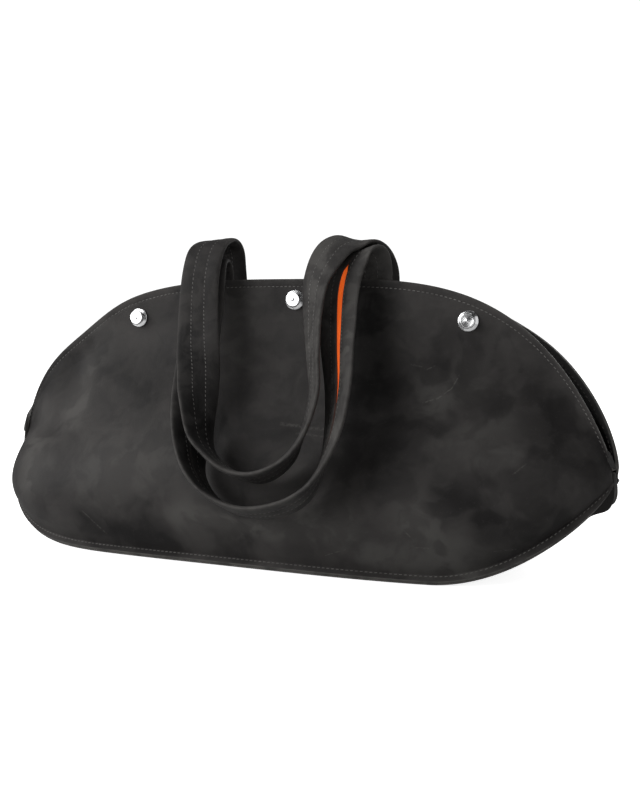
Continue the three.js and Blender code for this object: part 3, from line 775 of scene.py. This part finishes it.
# straps: leather folded round a core, in millimetres
strapSet = {
    "width": 38.0, "thick": 5.0, "leather": 1.6, "foot": 32.0, "footTop": 3.0, "footSeat": 0.9,
    "samples": 3000, "spacing": 2.6, "calm": 3.4, "roundness": 9.0, "edgeRound": 2.2, "slitShift": -2.4,
    "rows": 6.0, "groove": 0.3, "grooveWidth": 1.2, "swell": 0.15, "swellAt": 12, "swellWidth": 4.0,
    "edgeRub": 0.75, "edgeRubReach": 1.1, "lipRub": 0.5, "lipRubReach": 0.7, "weld": 0.00001,
    "lipSteps": 15, "backSteps": 33, "innerLipSteps": 8, "innerBackSteps": 13, "coreSteps": 37,
    "coreRound": 0.5, "shadeAngle": 55, "coreShadeAngle": 50,
}
# routes: x, y, z of the middle and the direction from the outer to the inner edge
backRoute = [
    (-78, 21, 265, 1, 0, 0), (-77, 14, 283, 1, 0, 0.06), (-77, -3, 290, 1, 0, 0.09),
    (-79, -22, 282, 1, 0, 0.04), (-80, -33, 261, 1, 0, 0), (-79, -40, 238, 1, 0.05, 0),
    (-68, -64, 199, 1, 0.2, 0), (-59, -81, 175, 0.78, 0.62, 0), (-50, -100, 149, 0.48, 0.88, 0),
    (-43, -109, 117, 0.12, 0.95, -0.25), (-33, -112, 104, -0.1, 0.95, -0.29),
    (-13, -114, 92, 0.02, 0.94, -0.33), (10, -115, 89, 0, 0.93, -0.35), (33, -114, 101, -0.12, 0.96, -0.26),
    (48, -112, 122, -0.35, 0.88, -0.2), (55, -99, 157, -0.45, 0.89, 0), (48, -80, 186, -0.5, 0.86, 0),
    (39, -56, 218, -0.6, 0.8, 0), (35, -37, 251, -0.78, 0.58, 0.04), (40, -27, 270, -0.87, 0.42, 0.2),
    (47, -16, 283, -0.93, 0.3, 0.2), (59, 0, 287.5, -1, 0.05, 0.2), (69, 12, 279, -1, 0, 0.1),
    (75, 20, 263, -1, 0, 0),
]
frontRoute = [
    (-82, 1, 262, 1, 0, 0), (-82, -3, 269, 1, 0, 0), (-81, -10, 272, 1, 0, 0), (-80, -18, 269, 1, 0, 0),
    (-79, -23, 258, 1, 0, 0), (-78, -30, 231, 1, 0.05, 0), (-73, -51, 199, 1, 0.1, 0),
    (-67, -72, 167, 0.92, 0.38, 0), (-63, -87, 139, 0.7, 0.7, 0), (-57, -102, 112, 0.42, 0.87, -0.25),
    (-49, -112, 90, 0.1, 0.93, -0.35), (-31, -117, 71, 0, 0.91, -0.4), (3, -119, 60, 0, 0.91, -0.42),
    (39, -119, 68, -0.05, 0.91, -0.4), (56, -118, 81, -0.15, 0.9, -0.36), (69, -116, 105, -0.4, 0.86, -0.25),
    (76, -109, 133, -0.6, 0.78, -0.1), (74, -92, 163, -0.72, 0.7, 0), (65, -67, 196, -0.83, 0.55, 0),
    (58, -46, 220, -0.93, 0.37, 0), (54, -32, 241, -1, 0.12, 0), (55, -25, 257, -1, 0.1, 0),
    (58, -20, 267, -1, 0.12, -0.08), (65, -11, 277, -1, 0.12, -0.2), (72, -1, 275, -1, 0.06, -0.16),
    (74, 2, 262, -1, 0.04, 0),
]
# gape of the folded strip over its core, by share of the route
backSlit = ((0, 0.3), (1, 0.3))
frontSlit = (
    (0, 0.3), (0.58, 0.3), (0.63, 2.8), (0.68, 4.6), (0.73, 5.2), (0.77, 5.2), (0.8, 4.6), (0.825, 1.0),
    (0.85, 0.3), (1, 0.3),
)


def runLength(points):
    return np.concatenate([[0], np.cumsum(np.linalg.norm(np.diff(points, axis=0), axis=1))])


def edgePlace(shape, x):
    half = endValue(shape, np.array(float(x)), "edgeHalf")
    return np.array(math.asin(x / half) * 2 / math.pi)


def footRows(shape, x, wx):
    u = edgePlace(shape, x)
    inset = shell["wall"] + shell["hemFold"] + shell["gap"] + strapSet["footSeat"] + strapSet["thick"] / 2
    height = edgePoint(shape, u)[2] - seamPoint(shape, u)[2]
    rows = []
    for below in (strapSet["foot"], strapSet["footTop"]):
        t = np.array(1 - below / height)
        place = panelPoint(shape, u, t) - panelNormal(shape, u, t) * inset
        rows.append((x, place[1], place[2], wx, 0, 0))
    return rows


def curveThrough(points, s, even):
    # a smooth curve through all points; even spacing for directions, chord spacing for places
    points = np.asarray(points, float)
    count = len(points)
    padded = np.vstack([2 * points[0] - points[1], points, 2 * points[-1] - points[-2]])
    p = np.clip(s, 0, 1) * (count - 1)
    k = np.minimum(p.astype(int), count - 2)
    w = (p - k)[:, None]
    x0, x1, x2, x3 = (padded[k + i] for i in range(4))
    if even:
        t1, t2 = 0.5 * (x2 - x0), 0.5 * (x3 - x1)
    else:
        pairs = ((x0, x1), (x1, x2), (x2, x3))
        d0, d1, d2 = (np.sqrt(np.linalg.norm(b - a, axis=1))[:, None] for a, b in pairs)
        t1 = ((x1 - x0) / d0 - (x2 - x0) / (d0 + d1) + (x2 - x1) / d1) * d1
        t2 = ((x2 - x1) / d1 - (x3 - x1) / (d1 + d2) + (x3 - x2) / d2) * d1
    return x1 + t1 * w + (-3 * x1 + 3 * x2 - 2 * t1 - t2) * w ** 2 + (2 * x1 - 2 * x2 + t1 + t2) * w ** 3


def calmed(values, steps):
    # evens out small kinks, ends held
    reach = int(steps * 3)
    weights = np.exp(-0.5 * (np.arange(-reach, reach + 1) / steps) ** 2)
    weights /= weights.sum()
    head = 2 * values[0] - values[reach:0:-1]
    tail = 2 * values[-1] - values[-2:-reach - 2:-1]
    padded = np.vstack([head, values, tail])
    return np.stack([np.convolve(padded[:, i], weights, "valid") for i in range(values.shape[1])], 1)


def strapFrames(shape, route):
    start, end = footRows(shape, route[0][0], 1), footRows(shape, route[-1][0], -1)[::-1]
    table = np.array(start + route + end, float)
    dense = np.linspace(0, 1, strapSet["samples"])
    length = runLength(curveThrough(table[:, :3], dense, even=False))
    count = int(length[-1] / strapSet["spacing"])
    s = np.interp(np.linspace(0, length[-1], count), length, dense)
    steps = strapSet["calm"] / strapSet["spacing"]
    point = calmed(curveThrough(table[:, :3], s, even=False), steps)
    wide = calmed(curveThrough(table[:, 3:], s, even=True), steps)
    along = unit(np.gradient(point, axis=0))
    wide = unit(wide - along * np.sum(wide * along, 1, keepdims=True))
    return {"s": s, "point": point, "wide": wide, "face": np.cross(along, wide)}


def slitWidth(slit, s):
    at, width = np.array(slit, float).T
    k = np.clip(np.searchsorted(at, s, side="left"), 1, len(at) - 1)
    share = easeStep((s - at[k - 1]) / (at[k] - at[k - 1]), 0, 1)
    return mix(width[k - 1], width[k], share)


def halfThickness(w, inset=0.0):
    # flat strip with turned edges, two sewn grooves and a slight swell beside them
    far = np.abs(w)
    half = strapSet["width"] / 2 - inset
    edge = np.maximum(1 - (far / half) ** strapSet["roundness"], 0) ** (1 / strapSet["edgeRound"])
    if inset:
        return (strapSet["thick"] / 2 - inset) * edge
    groove = strapSet["groove"] * np.exp(-((far - strapSet["rows"]) / strapSet["grooveWidth"]) ** 2)
    swell = strapSet["swell"] * np.exp(-((far - strapSet["swellAt"]) / strapSet["swellWidth"]) ** 2)
    return (strapSet["thick"] / 2 - strapSet["swell"] - groove + swell) * edge


def wrapSection(lip):
    # one section, from the right lip round the strip to the left lip and back inside
    half, skin, middle = strapSet["width"] / 2, strapSet["leather"], strapSet["slitShift"]
    inner = half - skin
    turn = np.sin(np.linspace(0, 1, strapSet["lipSteps"]) * math.pi / 2)
    right, left = mix(middle + lip, half, turn), mix(middle - lip, -half, turn)
    across = np.sin(np.linspace(-1, 1, strapSet["backSteps"]) * math.pi / 2) * half
    outer = [np.stack([right, halfThickness(right)], 1),
             np.stack([-across, -halfThickness(across)], 1)[1:],
             np.stack([left, halfThickness(left)], 1)[::-1][1:]]
    steps = np.linspace(0, 1, strapSet["innerLipSteps"])
    back, fore = (mix(middle + lip * side, inner * side, steps) for side in (1, -1))
    cross = np.linspace(-1, 1, strapSet["innerBackSteps"]) * inner
    inside = [np.stack([fore, halfThickness(fore, skin)], 1),
              np.stack([cross, -halfThickness(cross, skin)], 1)[1:],
              np.stack([back, halfThickness(back, skin)], 1)[::-1][1:]]
    return np.concatenate(outer + inside)


def sweptPoints(frames, sections):
    return (frames["point"][:, None] + sections[..., :1] * frames["wide"][:, None]
            + sections[..., 1:] * frames["face"][:, None])


def closeTube(piece, material, angle):
    piece.data.materials.append(material)
    editWhole(piece, lambda: bpy.ops.mesh.remove_doubles(threshold=strapSet["weld"]),
              lambda: bpy.ops.mesh.fill_holes(sides=0),
              lambda: bpy.ops.mesh.normals_make_consistent(inside=False))
    smoothShade(piece, angle)


def makeStrap(name, frames, slit, slitSide):
    lips = slitWidth(slit, frames["s"]) / 2
    sections = np.stack([wrapSection(lip) for lip in lips])
    sections = np.concatenate([sections, sections[:, :1]], axis=1)
    across, height = sections[..., 0], sections[..., 1]
    edgeRub = np.exp((np.abs(across) - strapSet["width"] / 2) / strapSet["edgeRubReach"])
    fromLip = np.abs(np.abs(across - strapSet["slitShift"]) - lips[:, None])
    lipRub = np.exp(-fromLip / strapSet["lipRubReach"]) * (height > 0.5)
    piece = gridPiece(name, sweptPoints(frames, sections * slitSide))
    addLayer(piece, "rub", np.clip(strapSet["edgeRub"] * edgeRub + strapSet["lipRub"] * lipRub, 0, 1))
    closeTube(piece, leatherStrap, strapSet["shadeAngle"])
    return piece


def roundedWave(wave):
    return np.sign(wave) * np.abs(wave) ** strapSet["coreRound"]


def makeStrapCore(name, frames):
    half = strapSet["width"] / 2 - strapSet["leather"] - shell["gap"]
    face = strapSet["thick"] / 2 - strapSet["leather"] - shell["gap"]
    angle = np.linspace(0, 2 * math.pi, strapSet["coreSteps"])
    outline = np.stack([half * roundedWave(np.cos(angle)), face * roundedWave(np.sin(angle))], 1)[::-1]
    piece = gridPiece(name, sweptPoints(frames, np.broadcast_to(outline, (len(frames["s"]), *outline.shape))))
    closeTube(piece, orangeCore, strapSet["coreShadeAngle"])
    return piece


backFrames = strapFrames(backShape, backRoute)
frontFrames = strapFrames(frontShape, frontRoute)
backStrap = makeStrap("back_strap", backFrames, backSlit, -1)
dress(backStrap, "leather", "handle_back")
frontStrap = makeStrap("front_strap", frontFrames, frontSlit, 1)
dress(frontStrap, "leather", "handle_front")
backCore = makeStrapCore("back_strap_core", backFrames)
dress(backCore, "core", "handle_back_core")
frontCore = makeStrapCore("front_strap_core", frontFrames)
dress(frontCore, "core", "handle_front_core")
print("straps done")


# studs: name, place along the front and share of the panel's height
studSet = {"sides": 48, "shadeAngle": 42}
studPlaces = (("stud_left", -160, 0.9035), ("stud_middle", 3, 0.922), ("stud_right", 164, 0.908))
# turned profile: radius and height above the leather, in millimetres
studProfile = (
    (5.6, -5.2), (6.0, -4.8), (6.0, -3.9), (2.0, -3.9), (2.0, 0.3), (8.7, 0.3), (9.05, 0.5), (9.2, 0.9),
    (9.1, 1.3), (8.7, 1.6), (5.4, 2.1), (4.8, 2.5), (4.6, 3.2), (4.8, 3.8), (6.4, 4.2), (6.9, 4.7),
    (7.0, 5.3), (6.85, 6.0), (6.45, 6.45), (6.0, 6.6), (5.5, 6.55), (1.8, 6.3), (1.5, 6.35), (1.35, 6.6),
    (1.0, 6.75), (0.4, 6.8),
)


def makeStud():
    first = studProfile[0]
    bpy.ops.mesh.primitive_circle_add(vertices=studSet["sides"], radius=first[0] * millimetre,
                                      fill_type="NGON", location=(0, 0, first[1] * millimetre))
    stud = bpy.context.object
    bpy.ops.object.transform_apply(location=True, rotation=True, scale=True)
    bpy.ops.object.mode_set(mode="EDIT")
    bpy.ops.mesh.select_mode(type="VERT")
    bpy.ops.mesh.select_all(action="SELECT")
    last = first
    for radius, height in studProfile[1:]:
        step = (0, 0, (height - last[1]) * millimetre)
        bpy.ops.mesh.extrude_region_move(TRANSFORM_OT_translate={"value": step})
        share = radius / last[0]
        bpy.ops.transform.resize(value=(share, share, 1), center_override=(0, 0, height * millimetre))
        last = (radius, height)
    bpy.ops.mesh.select_all(action="SELECT")
    bpy.ops.mesh.normals_make_consistent(inside=False)
    bpy.ops.object.mode_set(mode="OBJECT")
    smoothShade(stud, studSet["shadeAngle"])
    return stud


def studTurn(x, share):
    u = edgePlace(frontShape, x)
    place = panelPoint(frontShape, u, np.array(share))
    axis = Vector(panelNormal(frontShape, u, np.array(share)))
    turn = Vector((0, 0, 1)).rotation_difference(axis)
    return Matrix.Translation(Vector(place) * millimetre) @ turn.to_matrix().to_4x4()


studModel = makeStud()
for studName, studX, studShare in studPlaces:
    stud = studModel.copy()
    stud.data = studModel.data.copy()
    stud.name = stud.data.name = studName + "_turned"
    bpy.context.collection.objects.link(stud)
    stud.data.transform(studTurn(studX, studShare))
    stud.data.materials.append(chrome)
    dress(stud, "studs", studName)
bpy.data.objects.remove(studModel)
print("studs done")


# stitches: one modelled, then laid along each row
stitchSet = {
    "length": 3.3, "width": 0.95, "pitch": 4.2, "slant": 7.0, "sink": 0.12, "sides": 6, "middle": 0.5,
    "endDrop": 0.75, "endWidth": 0.55, "endHeight": 0.5, "shadeAngle": 60,
    "samples": 900, "hemReach": 0.985, "hemEnd": 14, "rimReach": 0.97, "rimEnd": 6, "strapEnd": 4,
}


def makeStitch():
    radius = stitchSet["width"] / 2 * millimetre
    middle = stitchSet["length"] * stitchSet["middle"] * millimetre
    bpy.ops.mesh.primitive_cylinder_add(vertices=stitchSet["sides"], radius=radius, depth=middle,
                                        end_fill_type="NGON", rotation=(0, math.radians(90), 0))
    stitch = bpy.context.object
    bpy.ops.object.transform_apply(location=True, rotation=True, scale=True)
    for side in (-1, 1):
        bpy.ops.object.mode_set(mode="EDIT")
        bpy.ops.mesh.select_all(action="DESELECT")
        bpy.ops.object.mode_set(mode="OBJECT")
        for face in stitch.data.polygons:
            face.select = face.normal.x * side > 0.9
        bpy.ops.object.mode_set(mode="EDIT")
        bpy.ops.mesh.select_mode(type="FACE")
        step = (stitchSet["length"] * millimetre - middle) / 2 * side
        drop = -radius * stitchSet["endDrop"]
        bpy.ops.mesh.extrude_region_move(TRANSFORM_OT_translate={"value": (step, 0, drop)})
        bpy.ops.transform.resize(value=(1, stitchSet["endWidth"], stitchSet["endHeight"]))
        bpy.ops.object.mode_set(mode="OBJECT")
    return stitch


stitchModel = makeStitch()
stitchVerts = np.array([v.co for v in stitchModel.data.vertices]) / millimetre
stitchFaces = [tuple(f.vertices) for f in stitchModel.data.polygons]


def evenRow(points, normals, end):
    # places along a path one pitch apart, with directions, clear of both ends
    length = runLength(points)
    at = np.arange(end + stitchSet["pitch"] / 2, length[-1] - end, stitchSet["pitch"])

    def atPlaces(values):
        return np.stack([np.interp(at, length, values[:, i]) for i in range(3)], 1)

    return atPlaces(points), unit(atPlaces(np.gradient(points, length, axis=0))), unit(atPlaces(normals))


def layStitches(name, rows):
    verts, faces = [], []
    slant = math.radians(stitchSet["slant"])
    for place, along, normal in rows:
        normal = unit(normal - along * np.sum(normal * along, 1, keepdims=True))
        side = np.cross(normal, along)
        turned = unit(along * math.cos(slant) + side * math.sin(slant))
        side = np.cross(normal, turned)
        for k in range(len(place)):
            start = len(verts) * len(stitchVerts)
            body = (stitchVerts[:, :1] * turned[k] + stitchVerts[:, 1:2] * side[k]
                    + (stitchVerts[:, 2:] - stitchSet["sink"]) * normal[k])
            verts.append(place[k] + body)
            faces.extend(tuple(start + v for v in face) for face in stitchFaces)
    mesh = bpy.data.meshes.new(name)
    mesh.from_pydata((np.concatenate(verts) * millimetre).tolist(), [], faces)
    mesh.update()
    piece = bpy.data.objects.new(name, mesh)
    bpy.context.collection.objects.link(piece)
    mesh.materials.append(thread)
    smoothShade(piece, stitchSet["shadeAngle"])
    dress(piece, "leather")


def hemRow(shape, inside):
    u = np.linspace(-1, 1, stitchSet["samples"]) * stitchSet["hemReach"]
    t = 1 - panelSet["hemStitch"] / hemHeight(shape, u)
    normal = panelNormal(shape, u, t)
    depth = shell["wall"] + shell["hemFold"] if inside else panelSet["groove"]
    place = panelPoint(shape, u, t) - normal * depth
    return evenRow(place, -normal if inside else normal, stitchSet["hemEnd"])


def rimRow(shape, under):
    u = np.linspace(-1, 1, stitchSet["samples"]) * stitchSet["rimReach"]
    out, face = rimFrame(shape, u)
    place = wallPoint(shape, u, np.zeros_like(u)) + out * panelSet["rimStitch"]
    if under:
        place, face = place - face * (2 * shell["wall"] + shell["gap"]), -face
    return evenRow(place, face, stitchSet["rimEnd"])


def strapRow(frames, offset, side):
    height = halfThickness(np.array([offset]))[0]
    normal = frames["face"] * side
    place = frames["point"] + frames["wide"] * offset + normal * height
    return evenRow(place, normal, stitchSet["strapEnd"])


bothFaces = (False, True)
layStitches("front_hem_stitches", [hemRow(frontShape, inside) for inside in bothFaces])
layStitches("back_hem_stitches", [hemRow(backShape, inside) for inside in bothFaces])
layStitches("rim_stitches", [rimRow(shape, under) for shape in (frontShape, backShape)
                             for under in bothFaces])
for rowName, rowFrames in (("back_strap_stitches", backFrames), ("front_strap_stitches", frontFrames)):
    layStitches(rowName, [strapRow(rowFrames, offset, side)
                          for offset in (-strapSet["rows"], strapSet["rows"]) for side in (-1, 1)])
bpy.data.objects.remove(stitchModel)
print("stitches done")


# pale floor and soft studio light
studioSet = {
    "floor": 60.0, "floorTones": ((0.9, 0.9, 0.9, 1), (0.93, 0.93, 0.93, 1)), "floorPatch": 3.0,
    "floorRough": 0.9, "glow": 0.86, "bounce": (0.62, 0.62, 0.62, 1),
    "white": (1, 1, 1, 1), "backdrop": 1.1, "sky": 0.26, "room": 0.05,
}
# name, place, aim, size and power of each lamp
lamps = (
    ("key", (-1.5, -1.2, 1.0), (0, 0, 0.12), (1.8, 1.4), 41),
    ("card", (-0.75, -1.8, 1.0), (0, 0, 0.12), (0.55, 1.2), 8),
    ("fill", (1.6, -1.8, 0.8), (0, 0, 0.12), (1.6, 1.6), 7),
    ("top", (0.1, 0.5, 1.9), (0, 0, 0.1), (1.6, 1.0), 6),
    ("behind", (0.9, 1.9, 0.9), (0, 0, 0.12), (1.6, 1.2), 14),
)


def rayMix(tree, ray, others, given):
    # one look for a kind of ray, another for all others
    node, path = tree.nodes.new("ShaderNodeMixShader"), tree.nodes.new("ShaderNodeLightPath")
    for source, socket in zip((path.outputs[ray], others, given), node.inputs):
        link(tree, source, socket)
    return node.outputs["Shader"]


def makeFloor():
    bpy.ops.mesh.primitive_grid_add(x_subdivisions=8, y_subdivisions=8, size=studioSet["floor"])
    floor = bpy.context.object
    floor.name = "floor"
    material, tree, shader = newMaterial("paleFloor")
    patch = noiseNode(tree, objectPlace(tree), studioSet["floorPatch"])
    fillInputs(tree, shader, {
        "Base Color": mixColour(tree, patch, *studioSet["floorTones"]), "Roughness": studioSet["floorRough"],
        "Specular IOR Level": 0.0, "Emission Color": studioSet["white"],
        "Emission Strength": studioSet["glow"],
    })
    dim = tree.nodes.new("ShaderNodeBsdfDiffuse")
    dim.inputs["Color"].default_value = studioSet["bounce"]
    surface = rayMix(tree, "Is Camera Ray", dim.outputs["BSDF"], shader.outputs["BSDF"])
    link(tree, surface, tree.nodes["Material Output"].inputs["Surface"])
    floor.data.materials.append(material)


def areaLight(name, place, aim, size, power):
    bpy.ops.object.light_add(type="AREA", location=place)
    lamp = bpy.context.object
    lamp.name = name
    lamp.data.shape = "RECTANGLE"
    lamp.data.size, lamp.data.size_y = size
    lamp.data.energy = power
    lamp.rotation_euler = (Vector(aim) - Vector(place)).to_track_quat("-Z", "Y").to_euler()


def makeWorld():
    world = bpy.data.worlds.new("studio")
    world.use_nodes = True
    tree = world.node_tree
    seen = tree.nodes["Background"]
    lit, room = (tree.nodes.new("ShaderNodeBackground") for _ in range(2))
    fillInputs(tree, seen, {"Color": studioSet["white"], "Strength": studioSet["backdrop"]})
    fillInputs(tree, lit, {"Color": studioSet["white"], "Strength": studioSet["sky"]})
    room.inputs["Strength"].default_value = studioSet["room"]
    # mirrors see a dark room, so that the chrome shows its lamps
    unseen = rayMix(tree, "Is Glossy Ray", lit.outputs["Background"], room.outputs["Background"])
    surface = rayMix(tree, "Is Camera Ray", unseen, seen.outputs["Background"])
    link(tree, surface, tree.nodes["World Output"].inputs["Surface"])
    bpy.context.scene.world = world


makeFloor()
for lampRow in lamps:
    areaLight(*lampRow)
makeWorld()
bpy.context.scene.view_settings.view_transform = "Standard"
print("studio ready")
